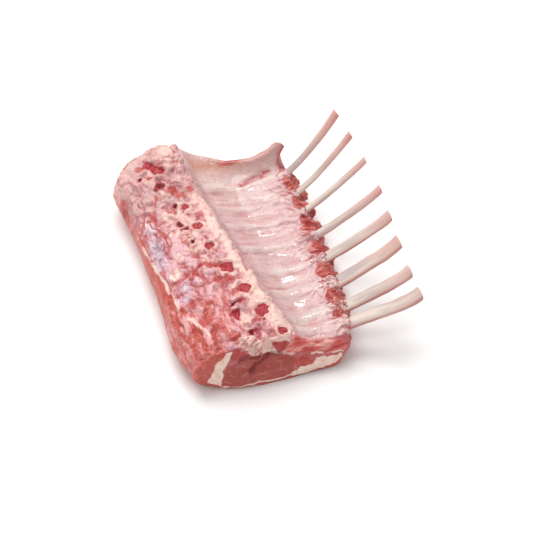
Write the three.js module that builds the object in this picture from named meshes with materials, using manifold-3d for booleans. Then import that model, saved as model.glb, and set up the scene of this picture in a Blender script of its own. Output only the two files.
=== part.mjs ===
// A raw, frenched rack of lamb, lying on its outer side with the inner, rib side up.
// Millimetres, +Z up. X runs from the loin's flank to the rib tips, Y along the spine from the
// shoulder end to the loin end. The origin is the middle of the rack's bounding box, on the table.
import * as THREE from 'three';
import { mergeVertices } from 'three/addons/utils/BufferGeometryUtils.js';
import Module from 'manifold-3d';

const wasm = await Module();
wasm.setup();

// ---- driving dimensions ----
const rackLength = 203; // along the spine, at the loin
const gap = 0.3; // between two tissues that touch
const bodyRings = 27; // steps along the spine
const runSteps = 16; // steps across the rack on its top, and again underneath

// The rack's section at seven places along the spine, as shares of the length from the shoulder end.
const stations = [0, 0.2, 0.4, 0.6, 0.8, 0.93, 1];
const profile = {
  flankX: [0.5, -3.8, -1.6, -1.5, -2.5, -5, 4], // the loin's widest line on the left
  flankZ: [13, 13, 14, 14, 15, 18, 21],
  shoulderX: [15, 13, 12, 11, 9, 12, 21], // where the flank turns over into the sawn face
  shoulderZ: [31, 31.5, 32, 33, 35, 37, 35],
  chineZ: [34.5, 36, 37.5, 39, 41.5, 43, 40], // half way across the sawn face
  ridgeX: [70, 65, 59, 53, 48, 48, 50], // the sawn face's sharp inner edge
  ridgeZ: [35, 38.5, 40.5, 41.5, 42, 42, 39],
  footZ: [29, 28, 27, 27, 28, 30, 32], // at the foot of the ridge, where the ribs start
  valleyZ: [23.5, 20, 17.5, 16.5, 17, 20, 26], // the hollow of the rib cage
  rimZ: [25, 22.5, 20.5, 20, 20.5, 25, 36], // the membrane's edge, where the bones come bare
  rimX: [113, 115, 117, 119, 120, 121, 121],
  tipX: [119, 128, 132, 134, 135, 132, 127], // the cut flesh between the ribs, its furthest line
  tipZ: [12, 9.5, 9, 9, 10, 17, 33],
  underZ: [0.8, 1, 1.2, 1.5, 2.5, 9, 24], // the underside below the rim
  liftZ: [0, 0, 0, 0, 0, 1.5, 6], // the underside below the loin
};
const footAcross = 6; // from the ridge to its foot
const valleyX = 86;
const farCutback = { depth: 20, from: 45, full: 100 }; // the rib side is shorter than the loin
const endBulge = { shoulder: 3, loin: 7 }; // how far the end faces swell
const endInset = 11; // how far the end faces draw in at the two sides
const shoulderLean = { reach: 8.5, from: 8, full: 50, height: 34 }; // the cut face's foot juts out
const ribRelief = { height: 1.7, halfWidth: 7.5, start: 62, full: 78 }; // ribs raising the membrane
const fleshScallop = 4; // the flesh between ribs reaches further than the flesh under them

// Ribs from the shoulder end to the loin end: place along the spine, lean of the bare end towards
// the loin, reach and height of the tip, and the bone's section.
const ribs = [
  { y: 7.5, lean: -7.5, tipX: 164.5, tipZ: 43, wide: 11.6, thick: 6.2 },
  { y: 22.5, lean: -2, tipX: 165, tipZ: 45, wide: 11, thick: 6 },
  { y: 47, lean: 0, tipX: 166.5, tipZ: 48.5, wide: 12.6, thick: 6.2 },
  { y: 74, lean: 0, tipX: 169.5, tipZ: 48.5, wide: 9.8, thick: 5.6 },
  { y: 98, lean: 2, tipX: 172, tipZ: 50.5, wide: 7.8, thick: 5.2 },
  { y: 125, lean: 4, tipX: 170.5, tipZ: 54.5, wide: 6.6, thick: 4.8 },
  { y: 144, lean: 6, tipX: 166.5, tipZ: 62, wide: 6.6, thick: 4.8 },
  { y: 166, lean: 8, tipX: 164, tipZ: 63.5, wide: 7.4, thick: 5 },
];
const boneCover = 2; // flesh and membrane over a rib
const boneSides = 8;
const boneSteps = 13;
const sawSlant = 0.12; // the saw's lean across each tip, as a slope

// The seam of fat between the loin and the cap muscle that lies outside and under it. It runs from
// its exit, high on the flank, down to an elbow and then across under the loin to the rib side.
const seam = {
  exitX: [29, 14, 9, 6, 3, 4, 12],
  exitZ: [36, 30, 27, 25, 24, 26, 28],
  elbow: { x: 12.5, z: 12.5 },
  under: { x: 28, z: 4.4 },
  middle: { x: 66, z: 4.2 },
  outer: { x: 98, z: 6.8 },
  end: { x: 140, z: 10.5 },
  thick: [5.2, 5.6, 1.8, 1.5, 5.4, 4.6], // at each of those six points
  liftShare: 0.6, // how much of the underside's rise at the loin end the seam follows
  run: { x: -22, z: 13 }, // from the exit to clear outside the flank
  steps: 13,
};

// The strip of sawn backbone along the ridge.
const chine = { wide: [26, 22, 20, 18, 18, 18, 18], belowFoot: 8.5, past: 4.5, steps: 12 };

// How far the shapes that divide the rack reach beyond its skin and its ends.
const cutter = { rings: 10, beyondEnd: 25, below: 20, above: 30, slack: 30 };

// ---- curves ----
const smooth = THREE.MathUtils.smoothstep;
const lerp = THREE.MathUtils.lerp;

/** A named size at a share t of the length, smoothly between its seven stations. */
function along(values, t) {
  const last = stations.length - 1;
  let i = stations.findIndex((s) => t <= s) - 1;
  i = i < -1 ? last - 1 : Math.max(0, i);
  const u = THREE.MathUtils.clamp((t - stations[i]) / (stations[i + 1] - stations[i]), 0, 1);
  const slope = (k) => {
    const a = Math.max(0, k - 1);
    const b = Math.min(last, k + 1);
    return (values[b] - values[a]) / (stations[b] - stations[a]);
  };
  const step = stations[i + 1] - stations[i];
  const [p, q] = [values[i], values[i + 1]];
  const [m, n] = [slope(i) * step, slope(i + 1) * step];
  return (
    p * (1 + 2 * u) * (1 - u) ** 2 + m * u * (1 - u) ** 2 + q * u * u * (3 - 2 * u) - n * u * u * (1 - u)
  );
}

/** Points evenly spread over the spans of a smooth line through the given [x, z] pairs. */
function run(pairs, steps = runSteps) {
  const curve = new THREE.CatmullRomCurve3(
    pairs.map(([x, z]) => new THREE.Vector3(x, 0, z)),
    false,
    'centripetal',
  );
  return curve.getPoints(steps).map((p) => [p.x, p.z]);
}

/** How strongly a rib raises the surface at a place along the spine, 0 to 1. */
function ribNear(y) {
  const nearest = Math.min(...ribs.map((rib) => Math.abs(y - rib.y) / (rib.wide / 2 + ribRelief.halfWidth)));
  return nearest < 1 ? Math.cos((nearest * Math.PI) / 2) ** 2 : 0;
}

/** The rack's section at share t: its top and its underside, both from the flank to the rib side. */
function section(t) {
  const at = Object.fromEntries(Object.entries(profile).map(([name, values]) => [name, along(values, t)]));
  const rib = ribNear(t * rackLength);
  const tipX = at.tipX - fleshScallop * rib;
  const top = run([
    [at.flankX, at.flankZ],
    [lerp(at.flankX, at.shoulderX, 0.35), lerp(at.flankZ, at.shoulderZ, 0.62)],
    [at.shoulderX, at.shoulderZ],
    [lerp(at.shoulderX, at.ridgeX, 0.5), at.chineZ],
    [at.ridgeX - 4, at.ridgeZ - 0.2],
    [at.ridgeX, at.ridgeZ - 1.5],
    [at.ridgeX + footAcross, at.footZ],
    [valleyX, at.valleyZ],
    [lerp(valleyX, at.rimX, 0.7), lerp(at.valleyZ, at.rimZ, 0.5)],
    [at.rimX, at.rimZ],
    [lerp(at.rimX, tipX, 0.55), lerp(at.rimZ, at.tipZ, 0.35)],
    [tipX, at.tipZ],
  ]).map(([x, z]) => {
    const cover = smooth(x, ribRelief.start, ribRelief.full) * (1 - smooth(x, at.rimX, tipX));
    return [x, z + ribRelief.height * rib * cover];
  });
  const bottom = run([
    [at.flankX, at.flankZ],
    [lerp(at.flankX, 20, 0.25), lerp(at.liftZ, at.flankZ, 0.32)],
    [lerp(at.flankX, 24, 0.8), at.liftZ],
    [45, at.liftZ],
    [70, at.liftZ],
    [92, lerp(at.liftZ, at.underZ, 0.35)],
    [lerp(at.rimX, tipX, 0.4), at.underZ],
    [tipX, at.tipZ],
  ]).map(([x, z]) => [x, Math.max(0, z)]);
  return { top, bottom };
}

/** Height of the top surface at x, in the section at share t. */
function topZ(t, x) {
  const { top } = section(t);
  const k = Math.max(1, top.findIndex(([px], j) => j > runSteps / 2 && px >= x));
  const [[ax, az], [bx, bz]] = [top[k - 1], top[k]];
  return lerp(az, bz, THREE.MathUtils.clamp((x - ax) / (bx - ax), 0, 1));
}

// ---- solids ----
function toSolid(geometry) {
  const bare = geometry.index ? geometry.toNonIndexed() : geometry.clone();
  bare.deleteAttribute('normal');
  bare.deleteAttribute('uv');
  const merged = mergeVertices(bare, 1e-3);
  const mesh = new wasm.Mesh({
    numProp: 3,
    vertProperties: new Float32Array(merged.attributes.position.array),
    triVerts: new Uint32Array(merged.index.array),
  });
  return new wasm.Manifold(mesh);
}

function toGeometry(solid) {
  const mesh = solid.getMesh();
  const geometry = new THREE.BufferGeometry();
  geometry.setAttribute('position', new THREE.BufferAttribute(mesh.vertProperties, 3));
  geometry.setIndex(new THREE.BufferAttribute(mesh.triVerts, 1));
  geometry.computeVertexNormals();
  return geometry;
}

/** Skins rings that each hold a top run and a bottom run sharing their end points. */
function skin(rings) {
  const steps = rings[0].top.length - 1;
  const points = rings.flatMap(({ top, bottom }) => [...top, ...bottom.slice(1, -1).reverse()]);
  const around = 2 * steps;
  const faces = [];
  for (let r = 0; r + 1 < rings.length; r++) {
    for (let k = 0; k < around; k++) {
      const [a, b] = [r * around + k, r * around + ((k + 1) % around)];
      faces.push(a, b, a + around, b, b + around, a + around);
    }
  }
  const closeEnd = (start, flip) => {
    const low = (k) => start + ((around - k) % around);
    for (let k = 0; k < steps; k++) {
      const quad = [start + k, start + k + 1, low(k + 1), low(k)];
      const halves = [[quad[0], quad[1], quad[2]], [quad[0], quad[2], quad[3]]];
      for (const half of halves.filter((f) => new Set(f).size === 3)) {
        faces.push(...(flip ? half.reverse() : half));
      }
    }
  };
  closeEnd(0, true);
  closeEnd((rings.length - 1) * around, false);
  const geometry = new THREE.BufferGeometry();
  geometry.setAttribute('position', new THREE.Float32BufferAttribute(points.flat(), 3));
  geometry.setIndex(faces);
  return geometry;
}

/** A section placed along the spine; the rib side ends sooner than the loin. */
function placed(line, t, extra = 0) {
  return line.map(([x, z]) => {
    const cutback = farCutback.depth * t ** 6 * smooth(x, farCutback.from, farCutback.full);
    const { reach, from, full, height } = shoulderLean;
    const lean = reach * (1 - t) ** 12 * smooth(x, from, full) * THREE.MathUtils.clamp(1 - z / height, 0, 1);
    return [x, t * rackLength - cutback - lean + extra, z];
  });
}

/** A ring pulled in towards the section's middle line, for a rounded end face. */
function endRing(t, inward, outward) {
  const { top, bottom } = section(t);
  const [left, right] = [top[0][0] + endInset, top.at(-1)[0] - endInset];
  const pull = (side, other) =>
    side.map(([x, z], k) => [
      lerp(x, THREE.MathUtils.clamp(x, left, right), inward),
      lerp(z, (z + other[k][1]) / 2, inward),
    ]);
  return {
    top: placed(pull(top, bottom), t, outward),
    bottom: placed(pull(bottom, top), t, outward),
  };
}

/** The whole of the flesh and backbone, before it is divided into its tissues. */
function makeBody() {
  const rounding = [0.75, 0.45, 0.16];
  const swell = (inward) => Math.sqrt(1 - (1 - inward) ** 2);
  const rings = [];
  for (const inward of rounding) rings.push(endRing(0, inward, -endBulge.shoulder * swell(inward)));
  for (let k = 0; k <= bodyRings; k++) rings.push(endRing(k / bodyRings, 0, 0));
  for (const inward of rounding.toReversed()) rings.push(endRing(1, inward, endBulge.loin * swell(inward)));
  return toSolid(skin(rings));
}

/** Skins a cutter: one ring for each step along the spine, and one beyond each end. */
function cutterSolid(ringAt) {
  const rings = [];
  for (let k = -1; k <= cutter.rings + 1; k++) {
    const t = THREE.MathUtils.clamp(k / cutter.rings, 0, 1);
    const beyond = (k < 0 ? -1 : 0) + (k > cutter.rings ? 1 : 0);
    const { top, bottom } = ringAt(t);
    const extra = beyond * cutter.beyondEnd;
    rings.push({ top: placed(top, t, extra), bottom: placed(bottom, t, extra) });
  }
  return toSolid(skin(rings));
}

/** All that lies outside and under the seam's lower (-1) or upper (+1) side, moved in by shift. */
function underSeam(side, shift) {
  return cutterSolid((t) => {
    const lift = seam.liftShare * along(profile.liftZ, t);
    const rise = along(profile.underZ, t) - profile.underZ[0];
    const exit = [along(seam.exitX, t), along(seam.exitZ, t)];
    const line = [
      exit,
      [lerp(seam.elbow.x, exit[0], 0.2), seam.elbow.z + lift],
      [seam.under.x, seam.under.z + lift],
      [seam.middle.x, seam.middle.z + lift],
      [seam.outer.x, lerp(seam.outer.z, seam.outer.z + rise, 0.35)],
      [seam.end.x, seam.end.z + rise],
    ];
    const moved = line.map(([x, z], j) => {
      const half = (side * seam.thick[j]) / 2 + shift;
      return j < 2 ? [x + half * 0.9, z + half * 0.45] : [x, z + half];
    });
    const top = run([[moved[0][0] + seam.run.x, moved[0][1] + seam.run.z], ...moved], seam.steps);
    const bottom = top.map(([x, z], j) =>
      j === 0 || j === seam.steps ? [x, z] : [x - cutter.slack * (1 - j / seam.steps), -cutter.below],
    );
    return { top, bottom };
  });
}

/** The block along the ridge that holds the sawn backbone. */
function chineBlock(grow) {
  return cutterSolid((t) => {
    const [ridgeX, ridgeZ] = [along(profile.ridgeX, t), along(profile.ridgeZ, t)];
    const wide = along(chine.wide, t) + grow;
    const deep = ridgeZ - along(profile.footZ, t) + chine.belowFoot + grow;
    const right = ridgeX + chine.past + grow;
    const bottom = run(
      [
        [ridgeX - wide - 6, ridgeZ + cutter.below],
        [ridgeX - wide, ridgeZ - 3],
        [ridgeX - wide * 0.72, ridgeZ - deep * 0.8],
        [ridgeX - wide * 0.3, ridgeZ - deep],
        [right - 3, ridgeZ - deep],
        [right, ridgeZ - deep * 0.7],
        [right + 2, ridgeZ + cutter.below],
      ],
      chine.steps,
    );
    const top = bottom.map(([x, z], j) => (j === 0 || j === chine.steps ? [x, z] : [x, ridgeZ + cutter.above]));
    return { top, bottom };
  });
}

/** One rib's centre line, from under the ridge through the flesh to past its sawn tip. */
function ribCurve(rib) {
  const t = rib.y / rackLength;
  const depth = boneCover + rib.thick / 2;
  const start = along(profile.ridgeX, t) + chine.past - 2;
  const rim = along(profile.rimX, t);
  const buried = [start + 6, start + 14, start + 24, rim - 22, rim - 8].map((x) => [x, topZ(t, x) - depth]);
  const leave = [rim + 3, topZ(t, rim) - depth + 3.2];
  const reach = rib.tipX - leave[0];
  const climb = rib.tipZ - leave[1];
  const bare = [0.32, 0.66, 1, 1.12].map((s) => [leave[0] + reach * s, leave[1] + climb * s ** 1.3]);
  const inner = [start - 2, buried[0][1] + 0.5];
  const points = [inner, ...buried, leave, ...bare].map(([x, z]) => {
    const out = smooth(x, rim - 10, rib.tipX);
    return new THREE.Vector3(x, rib.y + rib.lean * out, z);
  });
  return new THREE.CatmullRomCurve3(points, false, 'centripetal');
}

/** A flattened round bone swept along its curve. */
function sweepBone(curve, wide, thick) {
  const outline = new THREE.Shape();
  outline.absellipse(0, 0, wide / 2, thick / 2, 0, 2 * Math.PI);
  return toSolid(
    new THREE.ExtrudeGeometry(outline, {
      steps: boneSteps,
      curveSegments: boneSides / 2,
      extrudePath: curve,
      bevelEnabled: false,
    }),
  );
}

/** Takes off everything past a rib's tip, as the saw does. */
function sawCut(rib) {
  const block = new THREE.BoxGeometry(60, 60, 90);
  const slant = new THREE.Matrix4().makeRotationY(Math.atan(sawSlant));
  const place = new THREE.Matrix4().makeTranslation(rib.tipX, rib.y + rib.lean, rib.tipZ);
  block.translate(30, 0, 0).applyMatrix4(slant).applyMatrix4(place);
  return toSolid(block);
}

// ---- tissues ----
const body = makeBody();
const capMuscleSolid = body.intersect(underSeam(-1, 0));
const fatSeamSolid = body.intersect(underSeam(1, 0).subtract(underSeam(-1, gap)));
const chineSolid = body.intersect(chineBlock(0)).subtract(underSeam(1, gap));

let meatSolid = body.subtract(underSeam(1, gap)).subtract(chineBlock(gap));
const boneSolids = ribs.map((rib) => {
  const curve = ribCurve(rib);
  const socket = sweepBone(curve, rib.wide + 2 * gap, rib.thick + 2 * gap);
  meatSolid = meatSolid.subtract(socket);
  return sweepBone(curve, rib.wide, rib.thick)
    .subtract(sawCut(rib))
    .subtract(chineBlock(gap));
});

// ---- colours ----
const finishes = {
  lean: { color: 0xc96f68, roughness: 0.35 },
  cap: { color: 0xc9645a, roughness: 0.4 },
  fat: { color: 0xf0d9c8, roughness: 0.45 },
  sawnBone: { color: 0xe6b9ad, roughness: 0.5 },
  bone: { color: 0xd9cdc3, roughness: 0.4 },
};

/** Adds a tissue's largest body; thin crumbs that the cuts leave at its edges are dropped. */
function addPiece(group, name, solid, finish) {
  const biggest = solid.decompose().sort((a, b) => b.volume() - a.volume())[0];
  const material = new THREE.MeshStandardMaterial({ ...finishes[finish], metalness: 0 });
  const mesh = new THREE.Mesh(toGeometry(biggest), material);
  mesh.name = name;
  group.add(mesh);
}

const rack = new THREE.Group();
addPiece(rack, 'loin_meat', meatSolid, 'lean');
addPiece(rack, 'cap_muscle', capMuscleSolid, 'cap');
addPiece(rack, 'fat_seam', fatSeamSolid, 'fat');
addPiece(rack, 'chine_bone', chineSolid, 'sawnBone');
boneSolids.forEach((solid, k) => addPiece(rack, `rib_${k + 1}`, solid, 'bone'));

// The frame: the bounding box's middle, on the table.
const box = new THREE.Box3().setFromObject(rack);
const middle = box.getCenter(new THREE.Vector3());
rack.position.set(-middle.x, -middle.y, -box.min.z);

export default rack;
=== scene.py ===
import math
import bpy
import bmesh
import numpy as np
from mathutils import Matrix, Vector
from mathutils.bvhtree import BVHTree


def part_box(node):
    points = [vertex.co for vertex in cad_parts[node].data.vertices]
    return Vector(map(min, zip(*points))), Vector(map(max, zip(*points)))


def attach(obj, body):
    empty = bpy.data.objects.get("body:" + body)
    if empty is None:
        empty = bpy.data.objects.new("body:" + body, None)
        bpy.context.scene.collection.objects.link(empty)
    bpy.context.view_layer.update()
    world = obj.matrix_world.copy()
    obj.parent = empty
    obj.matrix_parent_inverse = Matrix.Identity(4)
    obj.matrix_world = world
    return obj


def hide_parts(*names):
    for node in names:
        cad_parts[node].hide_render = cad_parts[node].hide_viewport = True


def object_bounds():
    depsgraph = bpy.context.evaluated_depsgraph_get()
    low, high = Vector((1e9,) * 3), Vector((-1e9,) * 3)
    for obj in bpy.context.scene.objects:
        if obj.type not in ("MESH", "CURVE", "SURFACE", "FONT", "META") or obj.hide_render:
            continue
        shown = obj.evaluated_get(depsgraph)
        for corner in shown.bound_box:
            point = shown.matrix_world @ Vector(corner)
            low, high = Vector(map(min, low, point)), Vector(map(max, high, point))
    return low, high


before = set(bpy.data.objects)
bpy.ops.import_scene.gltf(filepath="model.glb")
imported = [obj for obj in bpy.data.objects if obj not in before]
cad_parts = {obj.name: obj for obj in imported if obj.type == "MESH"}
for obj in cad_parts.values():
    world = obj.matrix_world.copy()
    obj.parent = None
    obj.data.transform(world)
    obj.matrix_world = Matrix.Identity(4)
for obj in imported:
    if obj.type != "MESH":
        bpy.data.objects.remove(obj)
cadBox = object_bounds()
print("frame loaded")

# the rack's own measures, in mm: across from the flank, along from the shoulder end, up
fleshNames = ["loin_meat", "cap_muscle", "fat_seam", "chine_bone"]
ribNames = ["rib_%d" % (k + 1) for k in range(8)]
toMm = 1000.0

rackLines = {
    "flankBefore": 5.1,  # the flank's furthest point lies this far before across = 0
    "faceBefore": 9.6,  # the cut face's foot lies this far before along = 0
    "chinePast": 4.8,  # the ribs start this far beyond the sawn ridge
    "rimAlong": [0, 40, 80, 122, 162, 190],  # where the membrane ends and the bones come bare
    "rimAcross": [113, 115, 117, 119, 120, 121],
}

fleshBoxes = [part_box(name) for name in fleshNames]
fleshLow = [min(box[0][axis] for box in fleshBoxes) * toMm for axis in range(3)]
home = np.array([
    fleshLow[0] + rackLines["flankBefore"],
    fleshLow[1] + rackLines["faceBefore"],
    0.0,
])


def nodePoints(name):  # a CAD node's corners in rack measures
    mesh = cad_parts[name].data
    co = np.empty(len(mesh.vertices) * 3)
    mesh.vertices.foreach_get("co", co)
    return co.reshape(-1, 3) * toMm - home


ribPoints = {name: nodePoints(name) for name in ribNames}
ribStart = np.array([ribPoints[name][:, 0].min() for name in ribNames])
ribAlong = np.array([
    ribPoints[name][ribPoints[name][:, 0] < start + 30][:, 1].mean()
    for name, start in zip(ribNames, ribStart)
])
ribHalf = np.array([
    np.ptp(ribPoints[name][ribPoints[name][:, 0] < start + 30][:, 1]) / 2
    for name, start in zip(ribNames, ribStart)
])


def middleLine(index, count):  # the middle of a rib, fitted through its corners
    x, y, z = ribPoints[ribNames[index]].T
    spots = np.linspace(x.min() + 1, x.max(), count)
    scaled, middle = (x - x.mean()) / np.ptp(x), (spots - x.mean()) / np.ptp(x)
    yLine, zLine = np.polyfit(scaled, y, 4), np.polyfit(scaled, z, 5)
    return np.stack([spots, np.polyval(yLine, middle), np.polyval(zLine, middle)], axis=1)


def ridgeAt(along):
    return np.interp(along, ribAlong, ribStart - rackLines["chinePast"])


def rimAt(along):
    return np.interp(along, rackLines["rimAlong"], rackLines["rimAcross"])


# fields over a surface: one number for each point
def step(lowEdge, highEdge, value):
    t = np.clip((value - lowEdge) / (highEdge - lowEdge), 0, 1)
    return t * t * (3 - 2 * t)


def fade(lowEdge, highEdge, value):  # 1 before the low edge, 0 past the high one
    return 1 - step(lowEdge, highEdge, value)


def hill(value, centre, width):
    return np.exp(-(((value - centre) / width) ** 2))


def latticeValue(cell, seed):
    h = cell[:, 0] * 73856093 ^ cell[:, 1] * 19349663 ^ cell[:, 2] * 83492791 ^ (seed * 2654435761)
    h = ((h ^ (h >> 13)) * 1274126177) & 0xFFFFFFFF
    h = ((h ^ (h >> 15)) * 2246822519) & 0xFFFFFFFF
    return ((h ^ (h >> 16)) & 0xFFFFFF) / 0x800000 - 1.0


def noise(points, size, seed):  # smooth, -1 to 1, with lumps of the given size
    q = points / np.array(size, dtype=float)
    cell = np.floor(q).astype(np.int64)
    f = q - cell
    f = f * f * f * (f * (f * 6 - 15) + 10)
    total = np.zeros(len(points))
    for corner in range(8):
        offset = np.array([corner & 1, corner >> 1 & 1, corner >> 2])
        share = np.prod(np.where(offset, f, 1 - f), axis=1)
        total += share * latticeValue(cell + offset, seed)
    return total


def rough(points, size, layers, seed):  # noise with finer and finer layers on it
    total = np.zeros(len(points))
    for layer in range(layers):
        total += noise(points, np.array(size, dtype=float) / 2**layer, seed + 31 * layer) / 2**layer
    return total


def nearLine(points, line):  # distance from a drawn line, in as many directions as it has numbers
    line = np.array(line, dtype=float)
    best = np.full(len(points), 1e9)
    for first, second in zip(line[:-1], line[1:]):
        reach = second - first
        t = np.clip((points - first) @ reach / max(reach @ reach, 1e-9), 0, 1)
        best = np.minimum(best, np.linalg.norm(points - first - t[:, None] * reach, axis=1))
    return best


def area(points, corners, blur):  # 1 inside a drawn outline, 0 outside
    x, y = points.T
    closed = corners + corners[:1]
    inside = np.zeros(len(x), dtype=bool)
    for (ax, ay), (bx, by) in zip(closed[:-1], closed[1:]):
        if ay == by:
            continue
        crosses = (ay > y) != (by > y)
        inside ^= crosses & (x < (bx - ax) * (y - ay) / (by - ay) + ax)
    distance = nearLine(points, closed)
    return step(-blur, blur, np.where(inside, distance, -distance))


def stroke(points, line, core, edge):  # 1 along a drawn line, 0 beyond the edge
    return fade(core, edge, nearLine(points, line))


def patch(points, spots):  # soft round patches, each [x, y, how wide, how long]
    total = np.zeros(len(points))
    for x, y, wide, long in spots:
        away = ((points[:, 0] - x) / wide) ** 2 + ((points[:, 1] - y) / long) ** 2
        total = np.maximum(total, np.exp(-away))
    return total


def swells(points, size, layers, seed):  # rounded swells with sharp creases between, 0 to about 1
    return np.clip(np.abs(rough(points, size, layers, seed)) * 1.6, 0, 1)


def warped(points, size, amount, seed):
    moves = [noise(points, size, seed + k) for k in range(3)]
    return points + amount * np.stack(moves, axis=1)


# the flesh: one skin round the loin, the cap, the fat and the sawn backbone
fleshMake = {
    "voxel": 0.66,
    "most": 196000,  # triangles in the whole skin
    "close": 0.4,  # each tissue grows by this much, so that the seams between them close
    "smoothing": 22,
    "sleeve": 4.0,  # how far past the rim the flesh climbs each bone
}


def placed(name, data):  # a new object in the scene
    item = bpy.data.objects.new(name, data)
    bpy.context.scene.collection.objects.link(item)
    return item


def evaluated(item):  # the mesh that an object's modifiers make
    return bpy.data.meshes.new_from_object(item.evaluated_get(bpy.context.evaluated_depsgraph_get()))


def setValues(mesh, name, values):  # one number for each point
    attribute = mesh.attributes.new(name, "FLOAT", "POINT")
    attribute.data.foreach_set("value", values.astype(np.float32))


def fleshSolid():
    bm = bmesh.new()
    for name in fleshNames + ribNames:
        part = bmesh.new()
        part.from_mesh(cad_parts[name].data)
        bmesh.ops.remove_doubles(part, verts=part.verts, dist=1e-5)
        if name in ribNames:
            along = ribAlong[ribNames.index(name)]
            cut = (rimAt(along) + fleshMake["sleeve"] + home[0]) / toMm
            everything = part.verts[:] + part.edges[:] + part.faces[:]
            bmesh.ops.bisect_plane(
                part, geom=everything, plane_co=(cut, 0, 0), plane_no=(1, 0, 0), clear_outer=True
            )
            bmesh.ops.holes_fill(part, edges=[e for e in part.edges if e.is_boundary])
        part.normal_update()
        moves = [v.normal * (fleshMake["close"] / toMm) for v in part.verts]
        for v, move in zip(part.verts, moves):
            v.co += move
        scratch = bpy.data.meshes.new("scratch")
        part.to_mesh(scratch)
        part.free()
        bm.from_mesh(scratch)
        bpy.data.meshes.remove(scratch)
    mesh = bpy.data.meshes.new("fleshSolid")
    bm.to_mesh(mesh)
    bm.free()
    return mesh


def voxelSkin(mesh, voxel):
    solid = placed("voxelSkin", mesh)
    remesh = solid.modifiers.new("Remesh", "REMESH")
    remesh.mode = "VOXEL"
    remesh.voxel_size = voxel / toMm
    skin = evaluated(solid)
    bpy.data.objects.remove(solid)
    return skin


def largestShell(mesh):
    bm = bmesh.new()
    bm.from_mesh(mesh)
    bm.verts.ensure_lookup_table()
    group = [-1] * len(bm.verts)
    sizes = []
    for start in bm.verts:
        if group[start.index] >= 0:
            continue
        group[start.index] = len(sizes)
        todo = [start]
        count = 0
        while todo:
            v = todo.pop()
            count += 1
            for e in v.link_edges:
                other = e.other_vert(v)
                if group[other.index] < 0:
                    group[other.index] = len(sizes)
                    todo.append(other)
        sizes.append(count)
    keep = sizes.index(max(sizes))
    bmesh.ops.delete(bm, geom=[v for v in bm.verts if group[v.index] != keep], context="VERTS")
    bm.to_mesh(mesh)
    bm.free()
    return len(sizes)


def thinned(mesh, most):  # fewer triangles, taken first from what faces down or lies behind
    holder = placed("thinned", mesh)
    facing = meshNormals(mesh)[:, 2]
    keep = holder.vertex_groups.new(name="keep")
    keep.add(np.flatnonzero(facing > -0.25).tolist(), 1.0, "REPLACE")
    decimate = holder.modifiers.new("Decimate", "DECIMATE")
    decimate.vertex_group = "keep"
    decimate.invert_vertex_group = True
    decimate.vertex_group_factor = 4.0
    decimate.ratio = min(1.0, most / (2 * len(mesh.polygons)))
    result = evaluated(holder)
    bpy.data.objects.remove(holder)
    print("skin:", 2 * len(mesh.polygons), "triangles thinned to", len(result.polygons))
    return result


def meshArrays(mesh):
    co = np.empty(len(mesh.vertices) * 3)
    mesh.vertices.foreach_get("co", co)
    edges = np.empty(len(mesh.edges) * 2, dtype=np.int64)
    mesh.edges.foreach_get("vertices", edges)
    return co.reshape(-1, 3), edges.reshape(-1, 2)


def meshNormals(mesh):
    normals = np.empty(len(mesh.vertices) * 3)
    mesh.vertices.foreach_get("normal", normals)
    return normals.reshape(-1, 3)


def relax(values, edges, rounds, share=0.5):
    a, b = edges.T
    count = np.bincount(a, minlength=len(values)) + np.bincount(b, minlength=len(values))
    for _ in range(rounds):
        mean = np.zeros_like(values)
        for axis in range(values.shape[1]):
            mean[:, axis] = np.bincount(a, values[b, axis], len(values))
            mean[:, axis] += np.bincount(b, values[a, axis], len(values))
        values = values + share * (mean / count[:, None] - values)
    return values


def setPoints(mesh, co):
    mesh.vertices.foreach_set("co", co.ravel())
    mesh.update()


def nodeDistance(name, points):
    bm = bmesh.new()
    bm.from_mesh(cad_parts[name].data)
    tree = BVHTree.FromBMesh(bm)
    bm.free()
    return np.array([tree.find_nearest(p)[3] for p in points]) * toMm


fleshMesh = voxelSkin(fleshSolid(), fleshMake["voxel"])
shellCount = largestShell(fleshMesh)
co, edges = meshArrays(fleshMesh)
co = relax(co, edges, fleshMake["smoothing"])
setPoints(fleshMesh, co)
fleshMesh = thinned(fleshMesh, fleshMake["most"])
co, edges = meshArrays(fleshMesh)
normals = meshNormals(fleshMesh)
print("flesh skin:", len(co), "points,", shellCount, "shells")

tissueDistance = {name: nodeDistance(name, co) for name in fleshNames}
rack = co * toMm - home
across, along, up = rack.T
nx, ny, nz = normals.T
beyondRidge = across - ridgeAt(along)
beyondRim = across - rimAt(along)
soft = noise(rack, 3.0, 5)
loose = warped(rack, 5.0, 1.2, 7)
plan = loose[:, :2]
faceOn = warped(rack, 3.5, 0.9, 9)[:, [0, 2]]

# where each kind of surface lies, 0 to 1
nearEnd = 3 * fade(20, 46, along)  # the fat reaches over the ridge there
ribSide = step(0.5, 5, beyondRidge - nearEnd)
front = step(0.35, 0.75, -ny) * fade(8, 16, along)
rear = step(0.35, 0.75, ny) * step(150, 170, along)
below = step(0.4, 0.8, -nz)
sawn = (1 - ribSide) * step(0.4, 0.75, nz) * (1 - front) * (1 - rear)

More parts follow.
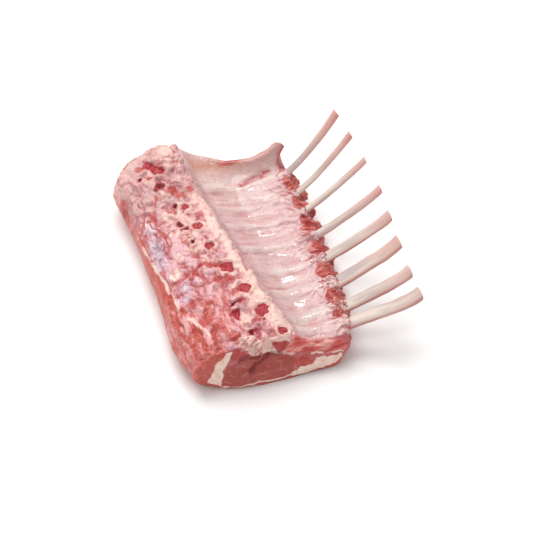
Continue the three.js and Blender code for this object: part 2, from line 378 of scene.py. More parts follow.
tornFlesh = {
    "inwardNear": 4.5,  # how far in it is torn between two ribs near the shoulder end, in mm
    "inward": 3.4,  # the same all along
    "uneven": 2.4,
    "reach": 2.2,  # how far it stands out between two ribs
    "ragged": 1.5,
    "fibre": 0.6,
}
between = np.zeros(len(co))  # 1 half way between two ribs
for first, second in zip(ribAlong[:-1], ribAlong[1:]):
    between = np.maximum(between, hill(along, (first + second) / 2, (second - first) * 0.3))
tornEdge = beyondRim + tornFlesh["inwardNear"] * fade(40, 110, along) * between
tornEdge += tornFlesh["inward"] * (between - 0.45) + tornFlesh["uneven"] * noise(rack, (6, 4.5, 4), 11)
torn = ribSide * step(-1.8, 1.2, tornEdge) * (1 - below)
torn *= (1 - front) * fade(172, 180, along)
edgeBand = np.flatnonzero((beyondRim > -7) & (ribSide > 0.5))
fromBone = np.full(len(co), 99.0)
for index in range(8):
    near = edgeBand[np.abs(along[edgeBand] - ribAlong[index]) < 16]
    side = nearLine(rack[near] * (1, 1, 1.5), middleLine(index, 14) * (1, 1, 1.5)) - ribHalf[index]
    fromBone[near] = np.minimum(fromBone[near], side)
sleeve = fade(0.2, 1.7, fromBone + 0.8 * noise(rack, (5, 3, 3), 12))
torn *= 1 - sleeve
membrane = ribSide * (1 - torn) * step(0.1, 0.4, nz) * (1 - front) * (1 - rear)
flank = (1 - sawn) * (1 - ribSide) * (1 - front) * (1 - rear) * (1 - below)

height = np.zeros(len(co))  # how far the surface moves out along its normal, in mm
# one of these masks is painted shade: darker colour put in pits, holes, creases and under the overhang
marrow, recessShade, blood, cream = np.zeros((4, len(co)))

# the sawn side, in mm: a spot is [across, along, radius], a patch [across, along, how wide, how long]
sawnFace = {
    "marrow": [  # spots, each with how red it is
        [36, 135, 3.6, 0.55], [39.3, 114, 3.6, 0.6], [42, 93.4, 3.4, 0.8], [47.3, 70, 5.2, 1.0],
        [52.8, 47, 5.2, 1.0], [58.8, 24.2, 5.3, 1.0], [66.5, 4, 3.6, 0.8],
    ],
    "marrowDeep": 0.55,
    "ring": 1.1,
    "pits": [
        [27.5, 122, 1.5], [13.5, 176, 1.3], [24.5, 162, 2.8], [33, 103, 1.2], [29, 140, 1.1],
    ],
    "pitDeep": 2.0,
    "redPit": [[37, 30], [45, 31.5], [41.5, 21.5]],
    "porous": [[48.5, 9, 6.2], [42.5, 36, 5.0], [30, 116, 4.0]],
    "farHole": [[22, 188], [25, 183], [28.5, 176.5]],
    "redPitDeep": 1.8,
    "farHoleDeep": 2.0,
    "streakDeep": 0.9,
    "redStreak": [[24, 74], [29, 78.5], [36, 78], [42, 74], [46, 71]],
    "redPatches": [
        [31.5, 154, 5, 5], [36, 148, 4, 5], [22, 31, 6, 9], [12, 26, 5, 6], [41, 76, 5, 3], [25, 20, 6, 8],
        [15, 48, 4, 7], [44, 151, 4, 7], [46, 46, 4, 4], [53, 18, 3, 5], [-2, 164, 3, 11], [45, 60, 5, 4],
        [47, 36, 4, 5], [38, 62, 5, 5], [34, 8, 5, 6], [27, 104, 3, 4], [16, 186, 4, 4],
    ],
    "paleFat": [[17, 176, 4, 6], [21, 120, 4, 8], [12, 80, 4, 9], [4, 135, 4, 6], [19, 93, 4, 6]],
    "silverskin": [
        [10, 128, 5, 9], [7.5, 112, 5, 13], [7, 98, 4.5, 9], [17, 65, 7, 6], [12, 56, 5, 6],
        [33, 108, 4, 5],
    ],
    "bruise": [[8.5, 112, 2.2, 7], [11, 105, 1.6, 5], [7, 98, 1.6, 3], [12, 119, 1.4, 3], [5, 106, 1.2, 4]],
    "innerEdge": [
        [42, -4], [41, 14], [40, 31], [40, 50], [37, 60], [29, 80], [25, 108], [19, 132], [24, 146],
    ],
    "fatLine": [
        [-2, 140, 21], [-1, 132, 22], [2.5, 99, 25], [6.4, 61, 28], [8, 42, 29], [12, 33, 31], [18, 16, 32],
    ],
    "crumple": 2.8,  # how strong each kind of fold is
    "skinFold": 2.3,
    "smallOnChine": 0.55,
    "smallOnLean": 0.7,
    "firstVertebra": 24.2,
    "vertebraPitch": 22.6,
    "vertebraRise": 0.8,
}


def fromSpot(x, y, radius):  # distance from a spot on the sawn side, in its radii
    return np.hypot(plan[:, 0] - x, plan[:, 1] - y) / radius


for x, y, radius, redness in sawnFace["marrow"]:
    r = fromSpot(x, y, radius) + 0.16 * noise(rack, 2.6, 31)
    inside = fade(0.78, 1.02, r) * sawn
    marrow = np.maximum(marrow, inside * redness)
    height -= sawnFace["marrowDeep"] * inside * (0.35 + 0.65 * redness)
    height += 0.9 * inside * swells(rack, 1.9, 2, 33)
    height += sawnFace["ring"] * hill(r, 1.28, 0.26) * sawn
    cream = np.maximum(cream, hill(r, 1.35, 0.45) * sawn)
for x, y, radius in sawnFace["pits"]:
    r = fromSpot(x, y, radius)
    inside = fade(0.2, 1.25, r) * sawn
    # painted shade in the pit
    recessShade = np.maximum(recessShade, 0.45 * inside)
    blood = np.maximum(blood, fade(0.9, 1.9, r) * sawn)
    height -= sawnFace["pitDeep"] * inside
for x, y, radius in sawnFace["porous"]:
    inside = fade(0.5, 1.1, fromSpot(x, y, radius)) * sawn
    cup = hill(plan[:, 1], y + 1.5 - 0.35 * (plan[:, 0] - x) ** 2 / radius, 1.6) * inside
    holes = step(0.0, 0.5, noise(rack, 1.7, 41))
    marrow = np.maximum(marrow, inside * 0.5 * holes + 0.7 * cup)
    # painted shade in the porous holes and the cup
    recessShade = np.maximum(recessShade, inside * 0.22 * holes + 0.25 * cup)
    height -= inside * (0.8 + 1.2 * holes) + 1.1 * cup
redPit = area(plan, sawnFace["redPit"], 1.2) * sawn
height -= sawnFace["redPitDeep"] * redPit
marrow = np.maximum(marrow, redPit)
holeRange = nearLine(plan, sawnFace["farHole"])
inHole = fade(2.2, 4.8, holeRange) * sawn
height -= sawnFace["farHoleDeep"] * inHole
height += 0.8 * hill(holeRange, 6.4, 1.6) * sawn
marrow = np.maximum(marrow, inHole * 0.95)
# painted shade in the far hole
recessShade = np.maximum(recessShade, 0.3 * inHole * step(0, 0.6, noise(rack, 3, 45)))
streak = stroke(plan, sawnFace["redStreak"], 0.3, 2.6) * sawn
blood = np.maximum(blood, 0.45 * streak * (0.5 + 0.5 * step(-0.2, 0.4, soft)))
height -= sawnFace["streakDeep"] * streak
redLean = patch(plan, sawnFace["redPatches"]) * (1 - below)
fat = patch(plan, sawnFace["paleFat"]) * step(-0.5, 0.3, noise(rack, 4, 46)) * 0.8
silver = np.clip(patch(plan, sawnFace["silverskin"]) * 1.3, 0, 1) * step(-0.1, 0.5, nz)
bruise = patch(plan, sawnFace["bruise"]) * step(-0.3, 0.3, noise(rack, (1.5, 4, 3), 47))
innerAcross, innerAlong = zip(*sawnFace["innerEdge"])
innerX = np.interp(along, innerAlong, innerAcross)
onChine = step(-2.5, 2.5, across - innerX + 4 * noise(rack, 7, 51)) * step(-0.2, 0.3, nz) * (1 - front)
onChine *= fade(2, 5, beyondRidge - nearEnd)
ridgeWide = 4.6 + 2.4 * noise(rack, 9, 54) + 0.5 * nearEnd
ridgeFat = hill(beyondRidge - nearEnd, -1.8, ridgeWide) * (1 - front) * fade(150, 166, along)
ridgeFat *= 0.6 + 0.4 * step(-0.7, -0.2, noise(rack, (5, 9, 5), 55))
cream = np.clip(np.maximum(cream, ridgeFat), 0, 1)
crumple = swells(warped(rack, 9, 4, 61), (9, 11, 9), 3, 62)
smallFold = swells(loose, (3.2, 4.2, 3.2), 2, 63)
skinFold = swells(warped(rack, 11, 6, 66), (10, 17, 10), 3, 65)
leanSide = sawn * (1 - onChine)
hump = step(132, 150, along) * step(-0.1, 0.4, nz) * (1 - ribSide)
chineFolds = sawnFace["crumple"] * (crumple - 0.45) * (1 - 0.3 * cream)
chineFolds += sawnFace["smallOnChine"] * (smallFold - 0.4)
height += onChine * (1 - marrow) * (1 - 0.7 * ridgeFat) * chineFolds
leanFolds = sawnFace["skinFold"] * (skinFold - 0.45) + sawnFace["smallOnLean"] * (smallFold - 0.4)
height += leanSide * (1 - 0.3 * hump) * leanFolds
height += ridgeFat * (0.9 + 0.5 * noise(rack, (5, 6, 5), 129))
height += sawn * (0.8 * noise(rack, 12, 64) + 0.22 * rough(rack, 2.2, 2, 130))
halfPitch = sawnFace["vertebraPitch"] / 2
beat = np.abs((along - sawnFace["firstVertebra"] + halfPitch) % sawnFace["vertebraPitch"] - halfPitch)
vertebra = (hill(beat, halfPitch, 4) - 0.4) * fade(150, 165, along)
height += onChine * sawnFace["vertebraRise"] * vertebra
height += hump * (0.9 * noise(rack, 7, 67) + 0.35 * rough(rack, 3, 2, 131))
creasePlaces = step(-0.05, 0.45, noise(warped(rack, 14, 5, 69), (12, 15, 12), 70)) * (1 - 0.8 * ridgeFat)
# red lean in the creases of the sawn side, darker there as painted shade
creaseRedAndShade = fade(0.05, 0.42, np.where(onChine > 0.5, crumple, skinFold)) * sawn * creasePlaces

fatLineRange = nearLine(loose, sawnFace["fatLine"])
fatLine = fade(0.3, 3.3 + 1.6 * soft, fatLineRange) * step(-0.5, 0.2, noise(rack, (5, 9, 5), 68))
height += 0.5 * fatLine
fat = np.maximum(fat, 0.55 * fatLine)

# the rib side: ribs under the membrane, creases beside them
ribSheet = {
    "rise": 0.9,  # of each rib under the membrane, in mm
    "crease": 0.34,
    "wrinkle": 0.4,
    "rimFold": 1.3,
    "slitDeep": 0.9,
    "lipRise": 0.5,  # the membrane's edge above the torn flesh
    "farRed": [[87, 187.8, 11, 3.6], [122, 175, 6, 8]],
    "slit": [[88, 168], [96, 171], [110, 173]],
    # patches of painted sheen on the membrane, each [across, along, how wide, how long]
    "pale": [[70, 184, 6, 3], [74, 171, 10, 4], [104, 150, 9, 3], [92, 60, 10, 4]],
}
ribRise = np.zeros(len(co))
ribCrease = np.zeros(len(co))
slant = along + 3.4 * noise(warped(rack, 20, 6, 74), (26, 12, 30), 71)
for y, half in zip(ribAlong, ribHalf):
    ribRise = np.maximum(ribRise, hill(slant, y, half * 0.85))
    for side in (-1, 1):
        line = hill(slant, y + side * (half + 1.6), 1.5)
        creased = step(-0.25, 0.5, noise(warped(rack, 12, 5, 75), (20, 8, 30), 72 + side))
        ribCrease = np.maximum(ribCrease, line * creased)
sheet = membrane * step(3, 10, beyondRidge)
nearRidge = fade(10, 42, beyondRidge + 8 * noise(rack, 14, 89))
height += sheet * (ribSheet["rise"] * ribRise - ribSheet["crease"] * ribCrease * (0.5 + 0.7 * nearRidge))
stretch = noise(warped(rack, 18, 9, 85), (24, 9, 20), 81)
height += sheet * ribSheet["wrinkle"] * stretch
folded = 1 - swells(warped(rack, 7, 2.5, 86), (10, 4.2, 8), 2, 84)
rimFold = step(-24, -5, beyondRim + 6 * noise(rack, 8, 87)) * sheet * fade(160, 172, along)
height += rimFold * ribSheet["rimFold"] * (folded - 0.3)
slit = stroke(plan, ribSheet["slit"], 0.6, 4.2) * membrane
height -= ribSheet["slitDeep"] * slit
# the ridge's foot, which the finish darkens as painted shade
footShade = hill(beyondRidge, 7.5, 3.5) * membrane
cloud = step(-0.35, 0.45, rough(warped(rack, 14, 6, 96), (17, 12, 15), 4, 90))
lip = hill(tornEdge, -2.8, 1.5) * membrane
height += ribSheet["lipRise"] * lip
endSkin = step(148, 168, along) * sheet
# painted sheen: whitish patches on the membrane
paintedSheen = patch(plan, ribSheet["pale"]) * membrane

# the torn flesh between the bare bones
rags = rough(warped(rack, 9, 3, 94), (8, 4.5, 5), 3, 91)
height += sleeve * step(-2, 2, beyondRim) * 0.7 * (rough(rack, (6, 3, 3), 2, 93) + 0.3)
height += torn * (tornFlesh["reach"] * (between - 0.35) + tornFlesh["ragged"] * rags)
height += torn * tornFlesh["fibre"] * noise(warped(rack, 8, 2, 95), (9, 1.5, 2.4), 92)

# the cut face at the shoulder end: outlines as [across, up] in mm
faceMarks = {
    "seam": [
        [29, 32], [24, 31], [18, 26], [15, 21], [11, 14], [8, 8.5], [19, 5.5], [20.5, 12], [21.5, 18],
        [25, 24],
    ],
    "eye": [
        [20, 5], [21.5, 14], [24, 20], [33, 24.5], [41, 25.5], [52, 25.5], [66, 21], [71, 17], [71, 8],
        [66, 3.5], [45, 5], [33, 4],
    ],
    "crease": [[40, 14], [43, 18], [48, 20.5], [53, 23.5]],
    "overhang": [[33, 25], [40, 25.8], [47, 24], [55, 25], [63, 23]],
    "swirls": [
        [[25, 16], [29, 19], [35, 19.5], [39, 16], [36, 12.5], [30, 11.5], [26, 13]],
        [[22, 9], [27, 7.5], [34, 8], [40, 6.5]],
        [[41, 9], [46, 12], [52, 10]], [[57, 20], [62, 17], [60, 12], [65, 9]],
        [[44, 6.5], [52, 7.5], [58, 6]],
    ],
    "underLine": [[19, 4.2], [33, 3.2], [45, 4.0], [58, 2.6], [67, 3.6]],
    "wedge": [
        [67, 2.5], [70, 6.5], [75, 9.5], [78, 8], [81, 10], [84, 9], [87, 14.8], [98, 13.2], [108, 11.8],
        [112, 9.6], [107, 6.4], [95, 4.4], [80, 2.4],
    ],
    "teeth": [
        [71, 18], [72, 9], [75, 10.5], [78, 8.6], [81, 10.4], [84, 9.4], [86, 15], [82, 13], [80, 18],
    ],
    "stripLine": [[69, 19.5], [83, 18], [97, 15.2], [110, 13.5]],
    "strip": [
        [73, 32], [86, 25], [98, 23.5], [113, 21], [112, 14.5], [97, 16], [83, 19], [66, 22], [66, 26],
    ],
    "redTriangle": [[57, 33], [70, 30], [66, 25.5], [61, 23], [57.5, 28]],
    "blob": [[34, 37], [50, 34], [51.5, 28], [48, 21], [44.5, 24], [41.5, 26.5], [37, 27.5]],
    "redLeft": [[29, 33], [40, 31.5], [40, 26.5], [33, 24.5], [27, 26]],
    "creaseDeep": 1.6,
    "overhangDeep": 1.2,
    "fringe": [[72, 31], [84, 26], [98, 24.5], [112, 21.5]],
}
onFace = step(0.2, 0.6, -ny) * fade(10, 18, along)
seam = area(faceOn, faceMarks["seam"], 0.8) * onFace
eye = area(faceOn, faceMarks["eye"], 0.9) * onFace * (1 - seam)
wedge = area(faceOn + 0.9 * noise(rack, 2.4, 112)[:, None], faceMarks["wedge"], 0.7) * onFace
teeth = area(faceOn, faceMarks["teeth"], 0.8) * onFace
strip = area(faceOn, faceMarks["strip"], 1.2) * step(-0.1, 0.35, -ny) * fade(6, 14, along)
redTriangle = area(faceOn, faceMarks["redTriangle"], 0.9) * step(0.0, 0.4, -ny) * fade(6, 10, along)
blob = area(faceOn + 1.0 * noise(rack, 2.0, 113)[:, None], faceMarks["blob"], 0.8) * fade(3, 9, along)
redLeft = area(faceOn, faceMarks["redLeft"], 1.0) * fade(3, 10, along)
faceCream = step(-1, 1, tissueDistance["loin_meat"] - tissueDistance["chine_bone"] + 0.8 * soft) * onFace
faceCream *= (1 - redTriangle) * (1 - eye)
creaseRange = nearLine(faceOn, faceMarks["crease"])
faceCrease = fade(0.2, 1.9, creaseRange) * onFace
height += eye * (0.9 * step(0, 5, creaseRange) - 0.9) * step(34, 40, across) * fade(54, 62, across)
height -= faceMarks["creaseDeep"] * faceCrease
overhang = stroke(faceOn, faceMarks["overhang"], 0.4, 2.0) * onFace
height -= faceMarks["overhangDeep"] * overhang
# painted shade in the face's crease and a painted shadow under the overhang
recessShade = np.maximum(recessShade, 0.5 * np.maximum(faceCrease, overhang))
swirl = np.zeros(len(co))
for line in faceMarks["swirls"]:
    swirl = np.maximum(swirl, stroke(faceOn, line, 0.1, 0.75))
swirl *= eye * step(-0.5, 0.1, noise(rack, 4, 114))
underLine = stroke(faceOn, faceMarks["underLine"], 0.3, 1.1) * onFace
stripPlaces = step(-0.2, 0.4, noise(rack, (5, 4, 4), 132))
stripLine = stroke(faceOn, faceMarks["stripLine"], 0.3, 1.3) * onFace * stripPlaces
fringe = stroke(faceOn, faceMarks["fringe"], 0.6, 2.4) * step(-0.35, 0.2, noise(rack, (7, 2, 2), 115))
fringe *= fade(4, 9, along)
fat = np.maximum.reduce([fat * (1 - onFace), seam, wedge, 0.8 * underLine, 0.7 * stripLine, 0.35 * fringe])
fat *= 1 - teeth
height += blob * (1.0 + 1.3 * rough(rack, 2.4, 2, 102))
height += (seam + wedge) * 0.5 * (swells(rack, 3.0, 2, 116) - 0.2) - 0.7 * underLine
height += strip * (0.9 * noise(rack, (9, 3, 2.2), 117) + 0.7 * noise(rack, (4, 1.6, 1.2), 118))
height += teeth * 0.6 * noise(rack, 2.0, 119) + redTriangle * (0.8 * noise(rack, 2.5, 120) - 0.6)
height += onFace * (0.5 * rough(rack, 7, 3, 103) + 0.15 * noise(rack, 1.8, 104))
height += flank * (0.55 * rough(rack, (9, 18, 8), 3, 105) + 0.15 * noise(rack, 2.2, 106))
height += (rear + below * 0.5) * 0.5 * rough(rack, 8, 3, 107)
nearFoot = step(0.3, 0.8, -ny) * fade(4, 22, up) * fade(6, 14, along)
height += 2.2 * nearFoot * fade(96, 110, across)
height += 2.0 * step(0.2, 0.6, -nx) * fade(30, 60, along) * hill(up, 12, 10) * (1 - ribSide)
nearCorner = step(0.1, 0.5, -nx) * step(0.1, 0.5, -ny) * fade(20, 30, up) * fade(8, 16, along)
height += 1.6 * nearCorner

# which tissue shows
capLean = step(-0.8, 0.8, tissueDistance["fat_seam"] - tissueDistance["cap_muscle"] + 0.6 * soft)
capLean = np.maximum(capLean * (1 - seam) * (1 - wedge), 0)
rearSeam = step(-0.5, 0.8, np.minimum.reduce([
    tissueDistance["loin_meat"], tissueDistance["cap_muscle"], tissueDistance["chine_bone"],
]) - tissueDistance["fat_seam"] + 0.8 * soft) * (rear + below)
fat = np.clip(np.maximum(fat, rearSeam), 0, 1)
lumpy = rough(warped(rack, 9, 3, 127), (9, 11, 9), 3, 121)
cream = np.maximum(cream, 0.8 * onChine * step(-0.1, 0.45, 0.5 * (crumple - 0.45) + 0.9 * lumpy - 0.14))
cream = np.maximum(cream, faceCream)
cream = np.maximum(cream, 0.5 * hump * step(-0.3, 0.3, noise(rack, 6, 122) + 0.6 * hill(along, 190, 14)))
cream *= 1 - 0.8 * np.clip(redLean, 0, 1) * step(-0.4, 0.4, soft)
redStrip = strip * step(-0.3, 0.4, noise(rack, (12, 4, 2.0), 123))
redLean = np.maximum.reduce([
    redLean, 0.75 * redTriangle, 0.45 * redStrip, 0.9 * teeth, 0.8 * redLeft, 0.85 * creaseRedAndShade,
])
# pale streaks on the lean near the shoulder end: partly the meat's own streaks, partly painted sheen
fleckAndSheen = (leanSide + 0.7 * flank) * fade(40, 66, along + 8 * noise(rack, 14, 128))
fleckAndSheen *= 0.35 + 0.65 * step(3, 15, along)
bloodyTear = torn * step(-0.1, 0.5, noise(rack, (5, 6, 4), 116)) * 0.6
tornFat = torn * step(0.05, 0.5, rough(rack, (7, 9, 3.5), 3, 126) + 0.25 * fade(8, 14, up))
blood = np.maximum(blood, bloodyTear)
fat = np.maximum(fat, 0.34 * tornFat)
insideCap = step(-0.6, 0.6, tissueDistance["cap_muscle"] - tissueDistance["loin_meat"] + 0.5 * soft)
underChine = step(-0.6, 0.6, tissueDistance["chine_bone"] - tissueDistance["loin_meat"])
rearEye = rear * (1 - rearSeam) * insideCap * underChine * fade(66, 76, across)
eye = np.maximum(eye, rearEye)
swirl = np.maximum(swirl, rearEye * hill(noise(warped(rack, 9, 3, 125), (9, 9, 6), 124), 0, 0.07))
rust = rear * step(24, 30, up) * step(60, 74, across)
rust += hill(along, 189, 7) * step(44, 60, across) * step(16, 24, up)
rust = np.clip(rust, 0, 1)
rust = np.maximum(rust, hill(across, 125, 5) * step(172, 178, along) * step(24, 30, up))
farRed = patch(plan, ribSheet["farRed"]) * step(14, 20, up)
redLean = np.maximum.reduce([redLean, farRed, 0.85 * slit * step(-0.7, 0.3, soft)])

# the surface moves
lowEdge = step(0.3, 2.0, up)  # the foot of the meat stays on the table
co = co + normals * (height * np.where(below > 0.3, lowEdge, 1))[:, None] / toMm
shape = {
    "flap": [123, 180.5],  # the pointed flap at the loin end
    "flapWide": 13,
    "flapLong": 11,
    "flapRise": 5.5,
    "flapOut": 6.5,
    "flapBack": 5.5,
    "leftFoot": [5.0, 3.0, 0.8],  # how the near left foot moves
    "topBack": 2.5,  # how far the near right corner moves in, at its top and more at its foot
    "footBack": 7.5,
    "footRise": 3.0,
    "cornerFrom": 98,
    "cornerFull": 118,
    "cornerLong": 24,
}
flapAcross, flapAlong = shape["flap"]
fromTip = np.hypot((across - flapAcross) / shape["flapWide"], (along - flapAlong) / shape["flapLong"])
pull = np.clip(1 - fromTip, 0, 1) ** 1.4
pull *= step(20, 33, up)
co[:, 2] += pull * shape["flapRise"] / toMm
co[:, 0] += pull ** 2 * shape["flapOut"] / toMm
co[:, 0] -= step(119, 127, across) * step(166, 176, along) * shape["flapBack"] / toMm
foot = fade(0, 18, across) * fade(0, 16, along) * fade(4, 26, up)
co += foot[:, None] * np.array(shape["leftFoot"]) / toMm
trim = step(shape["cornerFrom"], shape["cornerFull"], across) * fade(0, shape["cornerLong"], along)
co[:, 0] -= trim * (shape["topBack"] + shape["footBack"] * fade(3, 19, up)) / toMm
co[:, 2] += trim * fade(2, 16, up) * shape["footRise"] / toMm
co = np.clip(co, np.array(cadBox[0]), np.array(cadBox[1]))
setPoints(fleshMesh, co)

nearBone = fade(1, 7, fromBone)
frayed = step(-8, -2, beyondRim) * fade(3, 7, beyondRim) * ribSide * step(0.0, 0.4, nz)
frayed *= (0.15 + 0.85 * nearBone) * (1 - step(70, 130, along) * 0.7) * fade(165, 175, along)
frayed += 0.25 * blob
# painted shade in the creases beside the ribs, in the slit and at the ridge's foot
grooveShade = ribCrease * sheet * (0.35 + 0.65 * nearRidge) + slit + footShade * 0.5
ridge = np.maximum(ridgeFat * (1 - 0.7 * step(95, 140, along)), 0.9 * blob) * (1 - marrow)
masks = {
    "cream": cream, "fat": fat, "membrane": membrane, "blood": blood, "recessShade": recessShade, "eye": eye,
    "cap": capLean, "silver": silver, "bruise": bruise, "fleckAndSheen": fleckAndSheen, "red": redLean, "rust": rust,
    "torn": torn, "swirl": swirl, "strip": np.maximum(strip, 0.6 * teeth), "ribBand": ribRise * sheet,
    "grooveShade": grooveShade, "cloud": cloud * sheet, "sheen": paintedSheen, "hump": hump,
    # fold is high on the crests of the sawn side's folds, where the finish paints a paler tone as painted
    # highlight
    "fold": sawn * (0.6 * skinFold + 0.4 * crumple), "lace": fatLine, "marrow": marrow, "ridge": ridge,
    "streak": streak, "rimFold": rimFold * folded, "endSkin": endSkin, "frayed": frayed,
}
for name, values in masks.items():
    setValues(fleshMesh, name, np.clip(values, 0, 1))
for polygon in fleshMesh.polygons:
    polygon.use_smooth = True
flesh = placed("flesh", fleshMesh)
print("flesh shaped")


# finishes
def linear(r, g, b):
    def one(c):
        c /= 255
        return c / 12.92 if c <= 0.04045 else ((c + 0.055) / 1.055) ** 2.4

    return (one(r), one(g), one(b), 1)


def linearColours(colours):
    return {name: linear(*colour) for name, colour in colours.items()}


class Wire:  # a socket that does sums: an expression on it adds its Math nodes
    def __init__(self, kit, socket):
        self.kit = kit
        self.socket = socket

    def sums(self, operation, *terms):
        return self.kit.node("ShaderNodeMath", {"operation": operation}, list(terms))


for word, operation in (("add", "ADD"), ("sub", "SUBTRACT"), ("mul", "MULTIPLY")):
    setattr(Wire, "__%s__" % word, lambda self, other, o=operation: self.sums(o, self, other))
    setattr(Wire, "__r%s__" % word, lambda self, other, o=operation: self.sums(o, other, self))


class Kit:  # adds nodes to a tree: the type, then its settings, then what goes into its sockets
    def node(self, kind, settings=None, sockets=None, out=0):
        made = self.tree.nodes.new(kind)
        for key, value in (settings or {}).items():
            setattr(made, key, value)
        pairs = sockets.items() if isinstance(sockets, dict) else enumerate(sockets or [])
        for key, value in pairs:
            if isinstance(value, Wire):
                self.tree.links.new(value.socket, made.inputs[key])
            else:
                made.inputs[key].default_value = value
        return Wire(self, made.outputs[out])

    def more(self, wire, out):  # another output of the same node
        return Wire(self, wire.socket.node.outputs[out])

    def between(self, value, low, high, first=0.0, last=1.0, shape="LINEAR"):
        settings = {"interpolation_type": shape}
        return self.node("ShaderNodeMapRange", settings, {0: value, 1: low, 2: high, 3: first, 4: last})

    def vector(self, operation, *terms):
        return self.node("ShaderNodeVectorMath", {"operation": operation}, list(terms))

    def parts(self, vector):  # its three numbers
        split = self.node("ShaderNodeSeparateXYZ", {}, {0: vector})
        return split, self.more(split, 1), self.more(split, 2)

    def joined(self, *numbers):  # a vector of three numbers
        return self.node("ShaderNodeCombineXYZ", {}, list(numbers))

    def scaled(self, vector, amount):
        return self.node("ShaderNodeVectorMath", {"operation": "SCALE"}, {0: vector, 3: amount})


class Finish(Kit):
    def __init__(self, name):
        self.material = bpy.data.materials.new(name)
        self.material.use_nodes = True
        self.tree = self.material.node_tree
        self.tree.nodes.clear()
        self.objectPlace = self.node("ShaderNodeTexCoord", out="Object")

    def mask(self, name):
        return self.node("ShaderNodeAttribute", {"attribute_name": name}, out="Fac")

    def mix(self, share, first, second, blend="MIX"):
        settings = {"data_type": "RGBA", "blend_type": blend, "clamp_factor": True}
        return self.node("ShaderNodeMix", settings, {0: share, 6: first, 7: second}, out=2)

    def ramp(self, value, low, high):
        return self.between(value, low, high, shape="SMOOTHSTEP")

    def grain(self, place, size, detail=3.0, stretch=(1, 1, 1), roughness=0.55, twist=0.0):
        scaled = self.node("ShaderNodeVectorMath", {"operation": "MULTIPLY"}, [place, stretch])
        sockets = {"Vector": scaled, "Scale": toMm / size, "Detail": detail, "Roughness": roughness}
        sockets["Distortion"] = twist
        return self.node("ShaderNodeTexNoise", {}, sockets, out=0)

    def relief(self, value, strength, reach, under=None):
        sockets = {"Height": value, "Strength": strength, "Distance": reach / toMm}
        if under:
            sockets["Normal"] = under
        return self.node("ShaderNodeBump", {}, sockets, out=0)

    def shade(self, **sockets):
        sockets = {name.replace("_", " "): value for name, value in sockets.items()}
        surface = self.node("ShaderNodeBsdfPrincipled", {}, sockets)
        output = self.tree.nodes.new("ShaderNodeOutputMaterial")
        self.tree.links.new(surface.socket, output.inputs["Surface"])
        return self.material


fleshColours = {  # red, green and blue, 0 to 255
    "lean": (186, 96, 96),
    "leanPale": (220, 170, 174),
    # pale streaks on the lean, partly painted sheen
    "frostSheen": (228, 176, 178),
    "cap": (190, 84, 72),
    "capPale": (206, 116, 102),
    "eye": (168, 72, 64),
    "eyePale": (182, 92, 80),
    "swirl": (206, 140, 126),
    "fat": (244, 216, 202),
    "fatWarm": (230, 186, 168),
    "cream": (232, 192, 182),
    "creamPink": (200, 120, 114),
    "ridge": (234, 198, 186),
    "membrane": (210, 178, 176),
    "membranePink": (200, 146, 146),
    # whitish tone, laid at random over the membrane and also used as painted sheen
    "skinWhiteAndSheen": (222, 206, 200),
    "ribBand": (218, 200, 192),
    # painted shade for the membrane's creases, slit and ridge foot
    "grooveShade": (172, 112, 114),
    "silver": (222, 204, 216),
    "silverPink": (200, 150, 160),
    "bruise": (112, 62, 78),
    "strip": (214, 98, 90),
    "stripPale": (232, 168, 158),
    "stripDeep": (176, 62, 58),
    "cloud": (204, 168, 168),
    "red": (194, 70, 62),
    "redDeep": (160, 50, 46),
    "marrow": (168, 38, 48),
    "marrowPale": (180, 66, 74),
    "blood": (164, 44, 48),
    "bloodDark": (120, 26, 32),
    # painted shade for pits, holes, creases and the overhang
    "recessShadeTone": (92, 28, 32),
    "rust": (192, 136, 116),
    "hump": (176, 106, 110),
    "humpPale": (204, 162, 160),
    "humpGrey": (186, 158, 150),
    "torn": (172, 62, 56),
    "tornPale": (204, 118, 108),
    "endSkin": (208, 184, 174),
    "lace": (242, 200, 192),
}


